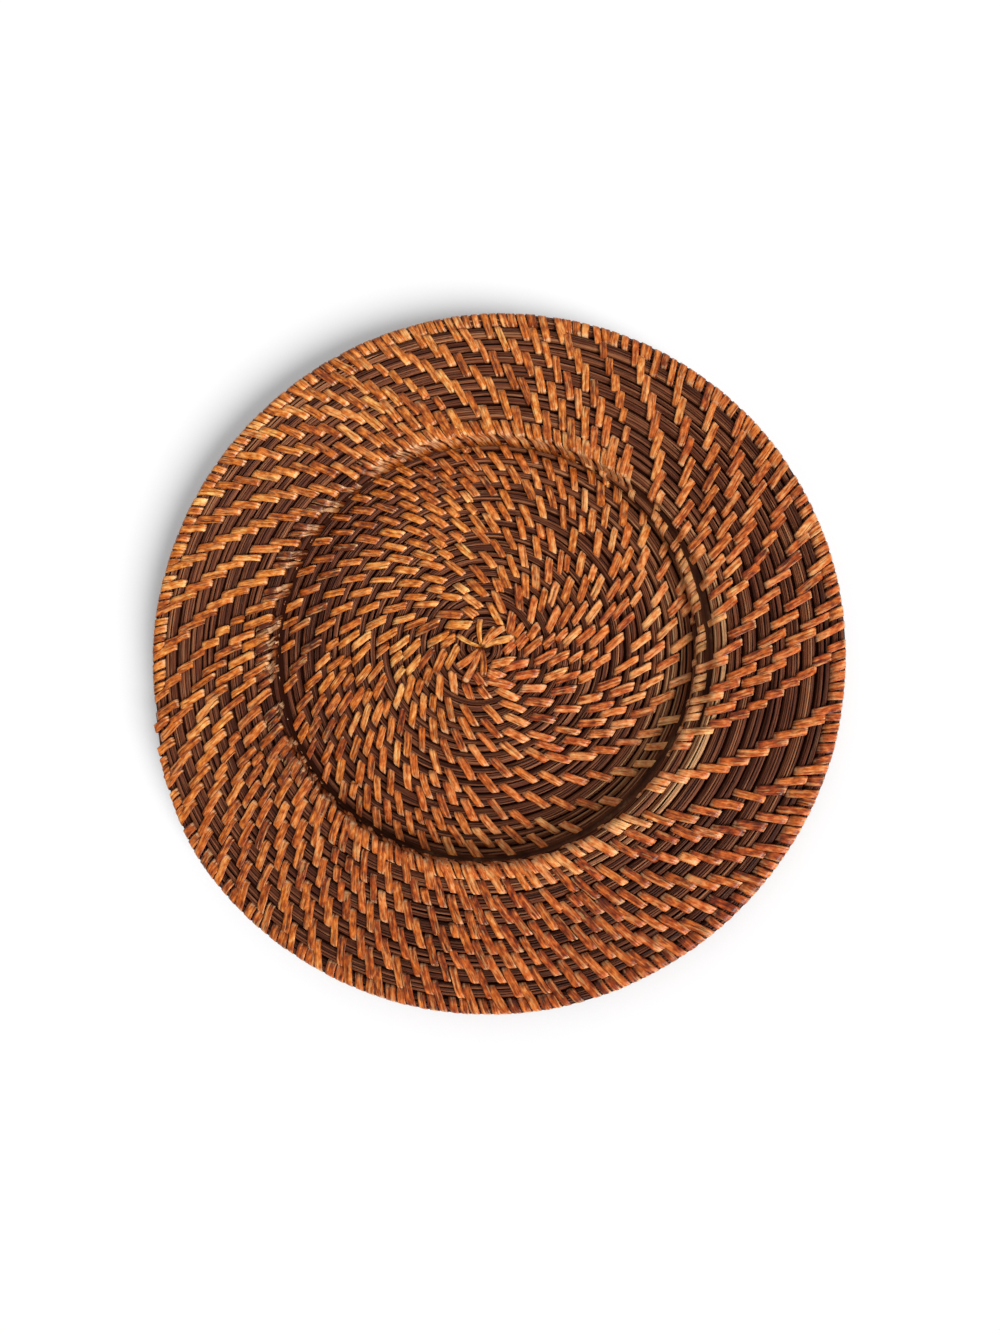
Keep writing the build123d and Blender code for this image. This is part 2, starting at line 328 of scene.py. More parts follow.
# A stitch, as offsets in rows from the middle of the row and heights in mm.
# It comes up inside the row before, goes over both rows, round this one and back underneath.
STITCH = np.array([
    (-1.10, 3.2), (-1.12, 4.3), (-1.10, 5.1), (-1.04, 5.65), (-0.93, 5.98), (-0.72, 6.05),
    (-0.5, 5.92), (-0.3, 6.02), (-0.08, 6.12), (0.1, 6.08), (0.24, 5.85), (0.36, 5.3),
    (0.44, 4.5), (0.47, 3.5), (0.46, 2.2), (0.4, 0.95), (0.26, 0.42), (0.05, 0.32),
    (-0.25, 0.38), (-0.5, 0.5), (-0.75, 0.38), (-1.0, 0.36), (-1.08, 0.9), (-1.1, 1.9),
    (-1.1, 2.9),
])
STITCH_INSIDE = 1.1  # how far in it reaches
# Round one row only
WRAP = np.array([
    (-0.4, 1.6), (-0.47, 3.0), (-0.45, 4.6), (-0.36, 5.4), (-0.2, 5.85), (0.0, 5.94),
    (0.2, 5.85), (0.36, 5.35), (0.45, 4.5), (0.47, 3.3), (0.45, 2.0), (0.36, 0.9),
    (0.2, 0.4), (0.0, 0.3), (-0.2, 0.4), (-0.34, 0.9), (-0.41, 1.8),
])
# Over the step, down both sides of the two rows of the wall
SADDLE = np.array([
    (-0.36, -5.4), (-0.46, -4.4), (-0.49, -3.0), (-0.48, -1.4), (-0.45, -0.2), (-0.47, 1.2),
    (-0.49, 3.0), (-0.47, 4.6), (-0.38, 5.4), (-0.2, 5.85), (0.0, 5.94), (0.2, 5.85),
    (0.36, 5.5), (0.46, 4.6), (0.49, 3.0), (0.46, 1.4), (0.44, 0.0), (0.46, -1.6), (0.4, -3.2),
])
STRIP_WIDE, STRIP_THICK = 3.75, 0.5

# How they are fitted to the rows: _IN is inward in rows, _HIGH and _LOW are heights in mm, and
# _OVER is what a change takes
STRETCH_IN = 0.5  # from which a stitch is stretched to reach the row inside
TUCK_IN, TUCK_OVER, TUCK_HIGH = 0.45, 0.4, 3  # where its inner end is lowered, on top only
FLARE_IN, FLARE_HIGH, FLARE_LOW = 0.3, 2.0, -5.4  # where the foot starts and ends its spread
SIDE_IN = 0.45  # the bundle's inner side, which stays where the bundle is thinned
DROP_IN, DROP_OVER = 0.38, 0.3  # where the base passes to that of the row inside
WIDEST_ROW = 7.9  # mm to the row outside, as far as a strip's outer side follows it
LOWEST = 0.6  # over the ground
UNDER_HIGH, UNDER_OVER = 3.2, 2.4  # where a stitch turns underneath
UNDER_BACK, UNDER_LEAN = 1.5, 0.5  # how it goes back there, and its share of the lean
BOW, BOW_OVER = 0.18, 1.6  # mm of sideways curve, and the rows that it takes
OWN_AFTER = 2.5  # way along a wrap from its top to where it crosses its turn
# In the shade of a crevice, below the first height, and more so at the foot of the step
SHADE_HIGH, SHADE_OVER, OWN_SHADE = 5.6, 3.2, 0.26
FOOT_HIGH, FOOT_SHADE = -0.8, 0.6


def stitch_paths(turns, shape, lean, inside=STITCH_INSIDE, tuck=0.0, own=False, flare=0.0):
    """Paths, outward directions and depths of stitches at the given turns.

    inside is how far in they reach, in rows. tuck lowers their inner ends, in mm. With own,
    they keep to their own row, and don't follow the row inside it. flare spreads the feet of
    their inner legs, in rows.
    """
    n = len(turns)
    x = np.broadcast_to(shape[:, 0], (n, len(shape)))
    z = np.broadcast_to(shape[:, 1], (n, len(shape)))
    if not own:
        stretch = (np.reshape(inside, (-1, 1)) - STRETCH_IN) / (STITCH_INSIDE - STRETCH_IN)
        x = np.where(x < -STRETCH_IN, -STRETCH_IN + (x + STRETCH_IN) * stretch, x)
        z = z - np.reshape(tuck, (-1, 1)) * ease((-x - TUCK_IN) / TUCK_OVER) * (z > TUCK_HIGH)
    spread = np.clip((FLARE_HIGH - z) / (FLARE_HIGH - FLARE_LOW), 0, 1)
    x = np.where(x < -FLARE_IN, x - np.reshape(flare, (-1, 1)) * spread, x)
    x = np.where(x > -SIDE_IN, -SIDE_IN + (x + SIDE_IN) * fullness(turns)[:, None], x)
    radius, base = row_middle(turns)
    radius_in, base_in = row_middle(turns - 1)
    share = 0 * x if own else np.clip(-x, 0, 1)
    drop = 0 * x if own else ease((-x - DROP_IN) / DROP_OVER)
    outer = np.clip(coil_radius(turns + 1) - coil_radius(turns), ROW_PITCH, WIDEST_ROW)[:, None]
    rows = np.where((x > 0) & (turns[:, None] < EDGE_TURN), outer, ROW_PITCH)
    r = radius[:, None] + (radius_in - radius)[:, None] * share + rows * (x + share)
    h = np.maximum(LOWEST, base[:, None] + (base_in - base)[:, None] * drop + z)
    under = ease((UNDER_HIGH - z) / UNDER_OVER)
    tangent = np.tan(lean)[:, None]
    back = -ROW_PITCH * UNDER_BACK * tangent * np.clip(-x, 0, 1)
    bow = np.sin(np.pi * np.clip((SIDE_IN - x) / BOW_OVER, 0, 1))
    bow = rng.normal(0, BOW, n)[:, None] * bow
    side = -ROW_PITCH * (LEAN_ORIGIN - x) * tangent * (1 - UNDER_LEAN * under)
    side = side + UNDER_LEAN * under * back + bow
    if own:
        steps = np.hypot(np.diff(shape[:, 0]) * ROW_PITCH, np.diff(shape[:, 1]))
        way = np.concatenate([[0], np.cumsum(steps)])
        side = tangent * (way - way[np.argmax(shape[:, 1])] - OWN_AFTER)
    path = place(turns[:, None], r, side, h)
    # outward is to the left of the way that the strip goes, seen along the coil
    out_r, out_h = -np.gradient(h, axis=1), np.gradient(r, axis=1)
    size = np.hypot(out_r, out_h) + 1e-9
    angle = -FULL_TURN * turns[:, None]
    out = np.stack([out_r * np.cos(angle), out_r * np.sin(angle), out_h], -1) / size[..., None]
    depth = ease((SHADE_HIGH - z) / SHADE_OVER) * (OWN_SHADE if own else 1)
    return path, out, depth + FOOT_SHADE * ease((FOOT_HIGH - z) / SHADE_OVER)


# Tones and hues, from 0 to 1
TONE, TONE_DRIFT, TONE_SPREAD = 0.54, 0.1, 0.09
HUE_SPREAD, HUE_GOLDEN = 0.35, 0.55
GOLDEN = 150  # direction, in degrees, where the strips are most golden
# Light and shade round the plate, and the turns from and to which they are
EAST_WELL, SOUTH_EAST_WELL, WELL_LESS, WELL_FROM, WELL_TO = 0.16, 0.1, 0.05, 11, 18.6
EAST_WALL, WALL_FROM, WALL_TO = 0.15, 16, 18.4
SOUTH_RIM, RIM_FROM = 0.15, 18.1


def lightness(turns):
    """How much painted light or shade: the well is lighter in the east, the rim darker in the
    south.
    """
    angle = FULL_TURN * turns
    east, south = np.cos(angle), 0.5 + 0.5 * np.sin(angle)
    well = EAST_WELL * east + SOUTH_EAST_WELL * np.cos(angle - 0.6) - WELL_LESS
    well = well * ease((turns - WELL_FROM) / 3) * ease((WELL_TO - turns) / 0.5)
    well = well + EAST_WALL * east * ease((turns - WALL_FROM) / 0.3) * ease((WALL_TO - turns) / 0.4)
    return well - SOUTH_RIM * south * ease((turns - RIM_FROM) / 0.5)


def strip_looks(turns):
    """Tone and hue of each strip: mostly its own, partly shared with those around it, with painted
    light and shade round the plate.
    """
    tone = TONE + wobble(turns, seed=9.0, size=TONE_DRIFT) + rng.normal(0, TONE_SPREAD, len(turns))
    golden = 0.5 - 0.5 * np.cos(-FULL_TURN * turns - math.radians(GOLDEN + 180))
    hue = HUE_SPREAD * rng.random(len(turns)) + HUE_GOLDEN * golden
    return np.clip(tone + lightness(turns), 0, 1), np.clip(hue, 0, 1)


RISE = 0.12  # mm by which some strips lie higher
NARROWER = 0.08  # share of their width that they lose in the crevices


def uneven(shape, spread, least, most):
    """Random factors about 1."""
    return rng.normal(1, spread, shape).clip(least, most)


def stitches(name, turns, nodes, width, lean, shape=STITCH, tilt=2.5, **more):
    """Stitches at the given turns, each with some unevenness. lean and tilt are in degrees."""
    n = len(turns)
    lean = np.radians(lean + rng.normal(0, tilt, n))
    path, out, depth = stitch_paths(turns, shape, lean, **more)
    path[..., 2] += (rng.random(n) * RISE)[:, None] * ease((path[..., 2] - 2) / 2)
    wide = width * uneven(n, 0.08, 0.8, 1.15)
    widths = wide[:, None] * uneven(path.shape[:2], 0.03, 0.93, 1.07)
    widths *= 1 - NARROWER * depth
    thick = np.full(path.shape[:2], STRIP_THICK) * uneven(n, 0.08, 0.8, 1.2)[:, None]
    return ribbons(name, path, out, widths, thick, (*strip_looks(turns), depth), nodes)


# Materials
def shader(name):
    """A material with a principled shader, its nodes and that shader."""
    material = bpy.data.materials.new(name)
    material.use_nodes = True
    tree = material.node_tree
    tree.nodes.clear()
    out = tree.nodes.new("ShaderNodeOutputMaterial")
    bsdf = tree.nodes.new("ShaderNodeBsdfPrincipled")
    tree.links.new(bsdf.outputs[0], out.inputs[0])
    return material, tree, bsdf


def wire(tree, kind, inputs=None, output=0, **settings):
    """A new node with its settings and inputs, returning one of its outputs."""
    node = tree.nodes.new(kind)
    for key, value in settings.items():
        setattr(node, key, value)
    for key, value in (inputs or {}).items():
        if isinstance(value, bpy.types.NodeSocket):
            tree.links.new(value, node.inputs[key])
        else:
            node.inputs[key].default_value = value
    return node.outputs[output]


def attribute(tree, name):
    """A node that reads an attribute of the mesh."""
    node = tree.nodes.new("ShaderNodeAttribute")
    node.attribute_name = name
    return node


def math_node(tree, operation, a, b=0.0, clamp=False):
    """One operation on two numbers."""
    return wire(tree, "ShaderNodeMath", {0: a, 1: b}, operation=operation, use_clamp=clamp)


def stretched_noise(tree, vector, scale, detail=2.0, roughness=0.5):
    """Noise with its own scale across, along and between pieces."""
    moved = wire(tree, "ShaderNodeVectorMath", {0: vector, 1: scale}, operation="MULTIPLY")
    inputs = {"Vector": moved, "Scale": 1.0, "Detail": detail, "Roughness": roughness}
    return wire(tree, "ShaderNodeTexNoise", inputs)


def ramp(tree, fac, stops):
    """Colours along a scale, as places from 0 to 1 with a colour at each."""
    node = tree.nodes.new("ShaderNodeValToRGB")
    tree.links.new(fac, node.inputs[0])
    elements = node.color_ramp.elements
    while len(elements) < len(stops):
        elements.new(0.5)
    for element, (position, colour) in zip(elements, stops):
        element.position, element.color = position, colour
    return node.outputs[0]


def mix(tree, fac, a, b, blend="MIX"):
    """Colour a with so much of colour b."""
    node = tree.nodes.new("ShaderNodeMix")
    node.data_type, node.blend_type = "RGBA", blend
    for key, value in ((0, fac), (6, a), (7, b)):
        if isinstance(value, bpy.types.NodeSocket):
            tree.links.new(value, node.inputs[key])
        else:
            node.inputs[key].default_value = value
    return node.outputs[2]


def split(tree, name):
    """The channels of the look attribute: tone, hue, place across and depth."""
    node = attribute(tree, "look")
    colour = wire(tree, "ShaderNodeSeparateColor", {0: node.outputs["Color"]}).node.outputs
    return colour[0], colour[1], colour[2], node.outputs["Alpha"]


def multiply_add(tree, a, factor, add):
    """A number times a factor, plus another."""
    return wire(tree, "ShaderNodeMath", {0: a, 1: factor, 2: add}, operation="MULTIPLY_ADD")


WHITE = (1.0, 1.0, 1.0, 1.0)
BLACK = (0.0, 0.0, 0.0, 1.0)


def cane_material():
    """Stained cane: streaked along the strip, with painted highlights at its bends, painted shade
    in the crevices, and edges darkened partly by stain and partly by painted shade.
    """
    material, tree, bsdf = shader("stained_cane")
    grain = attribute(tree, "grain").outputs["Vector"]
    tone, hue, across, depth = split(tree, "look")
    soft = stretched_noise(tree, grain, (0.6, 0.28, 1.0), 3)
    lines = stretched_noise(tree, grain, (1.0, 0.06, 1.0), 4, 0.7)
    flecks = stretched_noise(tree, grain, (1.0, 0.12, 1.0), 3, 0.6)
    tone = math_node(tree, "ADD", multiply_add(tree, soft, 1.6, -0.8), tone, True)
    golden = ramp(tree, tone, [
        (0.0, srgb(86, 36, 10)), (0.3, srgb(164, 80, 20)), (0.6, srgb(222, 128, 40)),
        (1.0, srgb(255, 204, 116)),
    ])
    reddish = ramp(tree, tone, [
        (0.0, srgb(84, 27, 10)), (0.3, srgb(158, 62, 22)), (0.6, srgb(216, 104, 44)),
        (1.0, srgb(254, 178, 118)),
    ])
    base = mix(tree, hue, reddish, golden)
    dark = ramp(tree, lines, [(0.36, srgb(96, 42, 22)), (0.52, WHITE), (1.0, WHITE)])
    final = mix(tree, 0.8, base, dark, "MULTIPLY")
    pale = ramp(tree, flecks, [(0.54, BLACK), (0.62, WHITE)])
    final = mix(tree, math_node(tree, "MULTIPLY", pale, 0.35), final, srgb(250, 190, 120))
    # Painted highlights at the bends, where a strip turns down into a crevice, broken up by its
    # flecks
    bends = ramp(tree, depth, [(0.0, BLACK), (0.03, WHITE), (0.2, WHITE), (0.36, BLACK)])
    painted_glint = math_node(tree, "MULTIPLY", bends, ramp(tree, flecks, [(0.42, BLACK), (0.58, WHITE)]))
    final = mix(tree, math_node(tree, "MULTIPLY", painted_glint, 0.55), final, srgb(255, 208, 160))
    # Darker at the strip's edges: partly stain, partly painted shade where the strip meets what
    # lies below
    edge = math_node(tree, "POWER", across, 8.0)
    final = mix(tree, math_node(tree, "MULTIPLY", edge, 0.6), final, srgb(78, 28, 12))
    # Painted shade where a strip goes down into a crevice
    final = mix(tree, math_node(tree, "MULTIPLY", depth, 0.85), final, srgb(56, 22, 12))
    tree.links.new(final, bsdf.inputs["Base Color"])
    tree.links.new(multiply_add(tree, lines, 0.4, 0.15), bsdf.inputs["Roughness"])
    tree.links.new(multiply_add(tree, depth, -0.18, 0.18), bsdf.inputs["Specular IOR Level"])
    bump = wire(tree, "ShaderNodeBump", {"Height": lines, "Strength": 0.6, "Distance": 0.0002})
    tree.links.new(bump, bsdf.inputs["Normal"])
    return material


def core_material():
    """Splints: browner and duller than the cane, with painted shade that makes them nearly black at
    their sides.
    """
    material, tree, bsdf = shader("rattan_splints")
    grain = attribute(tree, "grain").outputs["Vector"]
    tone, hue, across, depth = split(tree, "look")
    soft = stretched_noise(tree, grain, (0.4, 0.03, 1.0), 3)
    lines = stretched_noise(tree, grain, (1.0, 0.05, 1.0), 4, 0.7)
    tone = math_node(tree, "ADD", multiply_add(tree, soft, 0.5, -0.25), tone, True)
    base = ramp(tree, tone, [
        (0.0, srgb(58, 26, 16)), (0.35, srgb(112, 60, 38)), (0.65, srgb(154, 93, 60)),
        (0.88, srgb(192, 131, 88)), (1.0, srgb(222, 173, 122)),
    ])
    mauve = mix(tree, math_node(tree, "MULTIPLY", hue, 0.25), base, srgb(118, 66, 48))
    dark = ramp(tree, lines, [(0.38, srgb(74, 34, 20)), (0.5, WHITE), (1.0, WHITE)])
    final = mix(tree, 0.75, mauve, dark, "MULTIPLY")
    # Painted shade between neighbouring splints, at each one's sides
    side = math_node(tree, "POWER", across, 3.0)
    final = mix(tree, math_node(tree, "MULTIPLY", side, 0.85), final, srgb(30, 10, 5))
    pale = ramp(tree, lines, [(0.58, BLACK), (0.7, WHITE)])
    final = mix(tree, math_node(tree, "MULTIPLY", pale, 0.3), final, srgb(214, 164, 118))
    # Painted shade on the bundle's sides, down in the crevices between rows
    final = mix(tree, depth, final, srgb(38, 16, 10))
    tree.links.new(final, bsdf.inputs["Base Color"])
    bsdf.inputs["Roughness"].default_value = 0.55
    tree.links.new(multiply_add(tree, depth, -0.1, 0.1), bsdf.inputs["Specular IOR Level"])
    bump = wire(tree, "ShaderNodeBump", {"Height": lines, "Strength": 0.6, "Distance": 0.0002})
    tree.links.new(bump, bsdf.inputs["Normal"])
    return material


CANE, CORE = cane_material(), core_material()

# The coil: splints round the outside of an oval bundle, and a filler within, nearly black as
# painted shade in the crevices
SPLINTS = 20
HALF_WIDE, HALF_HIGH = 2.95, 2.72
SPLINT_WIDE, SPLINT_THICK = 0.5, 0.45  # half of each
SPLINT_RING = 6  # points round the section of one
SPLINT_LENGTHS = 90, 380  # least and most
SPLINT_TONES = 0.85  # from 0 up to this
ROUNDNESS = 0.75  # of the ring that they stand in: 1 is oval, and less is squarer
SHADED_SIDES = 0.56  # share of the bundle's half height under which splints are in shade
FILLER_WIDE, FILLER_HIGH, FILLER_HIGHER = 4.4, 1.3, 0.6  # half of each, and more where it climbs
BASE_MIDDLE = 3.1  # height of the bundle's middle over its row's base
# Drawn in by so much where strips hold it, and within so many mm of them
PINCH, PINCH_WITHIN = 0.05, 3.0
CLIMB_WIDENS, WIDEST = 1.3, 1.27  # mm wider between two levels, and at most times as wide
START_WIDE, START_HIGH = 0.3, 0.4  # shares of its size that it starts with


def stations(first, last, step=3.0, most=1 / 60):
    """Turns from first to last, a step in mm apart, but no more than a share of a turn."""
    turns = [first]
    while turns[-1] < last:
        turns.append(turns[-1] + min(most, step / (FULL_TURN * float(coil_radius(turns[-1])))))
    turns[-1] = last
    return np.array(turns)


def pinch(turns):
    """How far the bundle is drawn in where strips hold it."""
    i = np.searchsorted(TURNS, turns).clip(1, len(TURNS) - 1)
    gap = np.minimum(np.abs(turns - TURNS[i - 1]), np.abs(turns - TURNS[i]))
    mm = gap * FULL_TURN * coil_radius(turns)
    return 1 - PINCH * np.exp(-((mm / PINCH_WITHIN) ** 2))


def splint(turns, way, k, size):
    """One splint of the coil: its middle, half width and thickness, outward direction, looks."""
    angle = FULL_TURN * (k + 0.5) / SPLINTS + wobble(turns, seed=k * 3.7, size=0.09)
    cos, sin = np.cos(angle), np.sin(angle)
    tuck = size * (1 + wobble(turns, seed=k * 1.9 + 5, size=0.045))
    middle = np.stack([
        (HALF_WIDE - SPLINT_THICK) * np.sign(cos) * np.abs(cos) ** ROUNDNESS * tuck,
        (HALF_HIGH - SPLINT_THICK) * np.sign(sin) * np.abs(sin) ** ROUNDNESS * tuck,
    ], -1)
    out = np.stack([cos / HALF_WIDE, sin / HALF_HIGH], -1)
    out /= np.linalg.norm(out, axis=1, keepdims=True)
    ends = np.cumsum(rng.uniform(*SPLINT_LENGTHS, 2 + int(way[-1] / SPLINT_LENGTHS[0])))
    piece = np.searchsorted(ends, way)
    near_end = np.min(np.abs(way[:, None] - ends[None, : piece.max() + 2]), 1)
    fine = 1 - 0.5 * np.exp(-((near_end / 4) ** 2))
    tones = rng.beta(1.3, 1.5, piece.max() + 1)
    # with painted light and shade round the plate
    tones = (tones * SPLINT_TONES)[piece] + lightness(turns)
    hues = rng.random(piece.max() + 1)[piece]
    depth = ease((SHADED_SIDES - np.abs(sin)) / 0.5)
    wide = SPLINT_WIDE * fine * (1 + wobble(turns, seed=k * 2.3, size=0.14))
    return middle, wide, SPLINT_THICK * fine, out, (tones, hues, depth, piece)


def filler(turns):
    """The same for the filler, which closes the gap to the row inside or below."""
    across = coil_radius(turns) - coil_radius(turns - 1)
    climb = coil_level(turns) - coil_level(turns - 1)
    apart = np.hypot(across, LEVEL * climb)
    way = np.stack([across, LEVEL * climb], -1)
    middle = -0.5 * climb[:, None] * way
    middle[:, 0] -= 0.5 * (1 - climb)
    wide = FILLER_WIDE + (apart / 2 + 1 - FILLER_WIDE) * climb
    high = FILLER_HIGH + FILLER_HIGHER * climb
    # painted shade: nearly black in the crevices, but painted lighter where the step is lit, in the
    # east
    lit = 0.45 + 0.4 * np.cos(FULL_TURN * turns)
    looks = 0.6 * climb, 0.5 * climb, 1 - lit * climb, 0 * climb
    return middle, high, wide, way / apart[:, None], looks


def build_coil(name, first, last):
    """One piece of the coil, as its splints and its filler."""
    turns = stations(first, last)
    n = len(turns)
    radius, base = row_middle(turns)
    way = np.concatenate([[0], np.cumsum(np.diff(turns) * FULL_TURN * coil_radius(turns[1:]))])
    size = pinch(turns) * (1 + wobble(turns, seed=2.2, size=0.03))
    full = fullness(turns)[:, None]
    # wider, inward and outward, where the rows are further apart
    levels = [coil_level(turns + step) for step in (-1, 0, 1)]
    gaps = np.diff([coil_radius(turns + step) for step in (-1, 0, 1)], axis=0)
    gaps = gaps + CLIMB_WIDENS * np.abs(np.diff(levels, axis=0))
    wider = np.clip(gaps / ROW_PITCH, 1, WIDEST)
    wider[0, turns < 1] = wider[1, turns > EDGE_TURN] = 1
    wider = wider[..., None]
    # thin at the start, and growing from its outer side
    opening = np.clip(START_WIDE + (turns - START_TURN) * 2, 0, 1)[:, None]
    ring = FULL_TURN * (np.arange(SPLINT_RING) + 0.5) / SPLINT_RING
    points, looks, grains = [], [], []
    for k in range(SPLINTS + 1):
        piece = splint(turns, way, k, size) if k < SPLINTS else filler(turns)
        middle, half_w, half_t, out, (tone, hue, depth, number) = piece
        a, b = half_t[:, None] * np.cos(ring), half_w[:, None] * np.sin(ring)
        x = middle[:, :1] + out[:, :1] * a - out[:, 1:] * b
        z = middle[:, 1:] + out[:, 1:] * a + out[:, :1] * b
        x = np.where(x < 0, x * wider[0], x * wider[1])
        x = -HALF_WIDE + (x + HALF_WIDE) * full
        z = z * (0.5 + 0.5 * full)
        x = HALF_WIDE - (HALF_WIDE - x) * opening
        z = z * (START_HIGH + (1 - START_HIGH) * opening)
        height = base[:, None] + BASE_MIDDLE + z
        points.append(place(turns[:, None], radius[:, None] + x, 0 * x, height))
        look = np.empty((n, SPLINT_RING, 4))
        look[..., 0], look[..., 1] = tone[:, None], hue[:, None]
        look[..., 2], look[..., 3] = np.abs(np.sin(ring)), depth[:, None]
        looks.append(look)
        grain = np.empty((n, SPLINT_RING, 3))
        grain[..., 0] = ring * 0.5
        grain[..., 1] = way[:, None]
        grain[..., 2] = (k * 13.7 + number * 3.1)[:, None]
        grains.append(grain)
    quads, caps = tube_quads(SPLINTS + 1, n, SPLINT_RING)
    return new_mesh(
        name + "_splints", np.concatenate(points).reshape(-1, 3), quads, caps,
        np.concatenate(looks).reshape(-1, 4), np.concatenate(grains).reshape(-1, 3),
        CORE, [name],
    )


def build_eye():
    """The folded start of the bundle, in the middle of the first turn: a lobed, flattened ball."""
    count, ring = 9, 12
    wide, middle, high, lobes, lobe = 5.2, 2.9, 2.1, 5, 0.06
    rise = np.linspace(0.02, 0.98, count) * math.pi
    a = FULL_TURN * np.arange(ring) / ring
    r = np.sin(rise)[:, None] * wide * (1 + lobe * np.cos(lobes * a))
    height = middle - high * np.cos(rise)[:, None] + 0 * r
    points = np.stack([r * np.cos(a), r * np.sin(a), height], -1)
    quads, caps = tube_quads(1, count, ring)
    quads, caps = quads[:, ::-1], [cap[::-1] for cap in caps]
    # Low tone, and a depth that paints it in shade, as in the hole at the coil's start
    look = np.tile([0.1, 0.3, 0.3, 0.7], (count * ring, 1))
    grain = np.stack(np.broadcast_arrays(3 * a[None], points[..., 0] * 2, 0 * r), -1)
    new_mesh("eye_splints", points.reshape(-1, 3) + CENTRE, quads, caps, look,
             grain.reshape(-1, 3), CORE, [])


build_eye()
build_coil("floor_coil", START_TURN, WALL_TURN - CLIMB)
build_coil("wall_coil", WALL_TURN - CLIMB, STEP_TURN - CLIMB)
build_coil("rim_coil", STEP_TURN - CLIMB, END_TURN)


# The lashing, row by row
FLOOR_ROWS, RIM_ROWS = 15, 8
TUCK, TUCK_APART = 0.3, 3.7  # mm under others, and how near those are
CROSSING_IN = 0.75  # rows inward, where a strip crosses those of the row inside
LEAST_NARROW = 0.6  # share of its width that a strip keeps at least
INSIDE_SPREAD = 0.03  # of how far in they reach
RIM_LEANS_MORE = 5  # degrees more than where the strips are laid
EDGE_LEAN, STEP_LEAN, WALL_LEAN, CLIMB_LEAN = 18, 27, 20, 25
STEP_WIDE, WALL_WIDE = 3.2, 3.5
EDGE_SPACING, STEP_SPACING = 4.2, 4.3  # of the wraps between two long strips, at least
EDGE_SHARE, STEP_SHARE = 0.82, 0.72  # of that, taken up by the wrap
STEP_ASIDE = 0.12  # share of it by which they are off the middle
LAST_STRIP, LAST_WRAP = 0.03, 0.15  # shares of the thinned end that are left bare
CROWDED_TURN = 17.64  # from which wraps lie side by side: the north-west to the north-east
SLOPE_TURN = 17.45  # from which the step slopes: the west to the north-east


def crowding(turns):
    """How far strips tuck under others, and their share of width where neighbours are close."""
    way = FULL_TURN * coil_radius(turns)
    lean = lean_at(turns)
    gaps = np.diff(TURNS, prepend=TURNS[0] - 1, append=TURNS[-1] + 1)
    at = np.searchsorted(TURNS, turns)
    spare = np.minimum(gaps[at], gaps[at + 1]) * way * np.cos(lean)
    crossing = coil_radius(turns) - CROSSING_IN * ROW_PITCH
    drift = ROW_PITCH * (LEAN_ORIGIN + CROSSING_IN) * np.tan(lean)
    apart = turns[:, None] - TURNS[None] - 1
    apart = np.abs(apart * FULL_TURN * crossing[:, None] + drift[:, None]).min(1) * np.cos(lean)
    tuck = ease((TUCK_APART - apart) / 1.2) * TUCK
    return tuck, np.clip(spare * 0.95 / STRIP_WIDE, LEAST_NARROW, 1)


def stitch_rows(name, low, high):
    """The long strips from one turn to another, each over its row and the row inside."""
    here = (TURNS >= low) & (TURNS < high)
    turns, inside = TURNS[here], REACHES[here]
    tuck, narrow = crowding(turns)
    inside = inside * rng.normal(1, INSIDE_SPREAD, len(turns))
    stitches(
        name + "_cane", turns, [name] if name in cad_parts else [],
        STRIP_WIDE * narrow * np.clip(1.2 - 0.04 * turns, 1, 1.12),
        np.degrees(lean_at(turns)) + np.where(turns > WALL_TURN, RIM_LEANS_MORE, 0),
        inside=inside, tuck=tuck,
    )


def between(first, last, spacing, aside, most=9):
    """Turns of wraps that share the gaps between neighbouring long strips, and their spacing."""
    found = []
    for turn, after in zip(TURNS, TURNS[1:]):
        if first <= turn and after < last:
            way = (after - turn) * FULL_TURN * float(coil_radius(turn))
            count = int(way / spacing)
            for i in range(1, min(count - 1, most) + 1):
                found.append((turn + (after - turn) * (i - aside) / count, way / count))
    return np.array(found).T


def sloping(turns):
    """How far the feet of the wraps spread, in rows, where the step slopes."""
    return 0.4 * ease((turns - SLOPE_TURN) / 0.1)


for row in range(1, FLOOR_ROWS + 1):
    low = row + SEAM if row > 1 else 0
    high = row + 1 + SEAM if row < FLOOR_ROWS else WALL_TURN - CLIMB
    stitch_rows(f"floor_lashing_{row:02d}", low, high)
for row in range(1, RIM_ROWS + 1):
    low = RIM_TURN + row - 1
    stitch_rows(f"rim_lashing_{row:02d}", low, min(low + 1, EDGE_TURN))
stitch_rows("edge_lashing", EDGE_TURN, END_TURN - TAIL * LAST_STRIP)

edge_wraps, apart = between(EDGE_TURN, END_TURN - TAIL * LAST_WRAP, EDGE_SPACING, 0)
stitches(
    "edge_wraps_cane", edge_wraps, ["edge_wraps"], apart * EDGE_SHARE, EDGE_LEAN, WRAP, tilt=4,
    own=True,
)
wraps = TURNS[(TURNS >= WRAPS_START) & (TURNS < WRAPS_END)]
stitches(
    "step_lashing_cane", wraps, ["step_lashing"], STEP_WIDE, STEP_LEAN, SADDLE, own=True,
    flare=sloping(wraps),
)
stitch_rows("step_out", WRAPS_END, RIM_TURN)
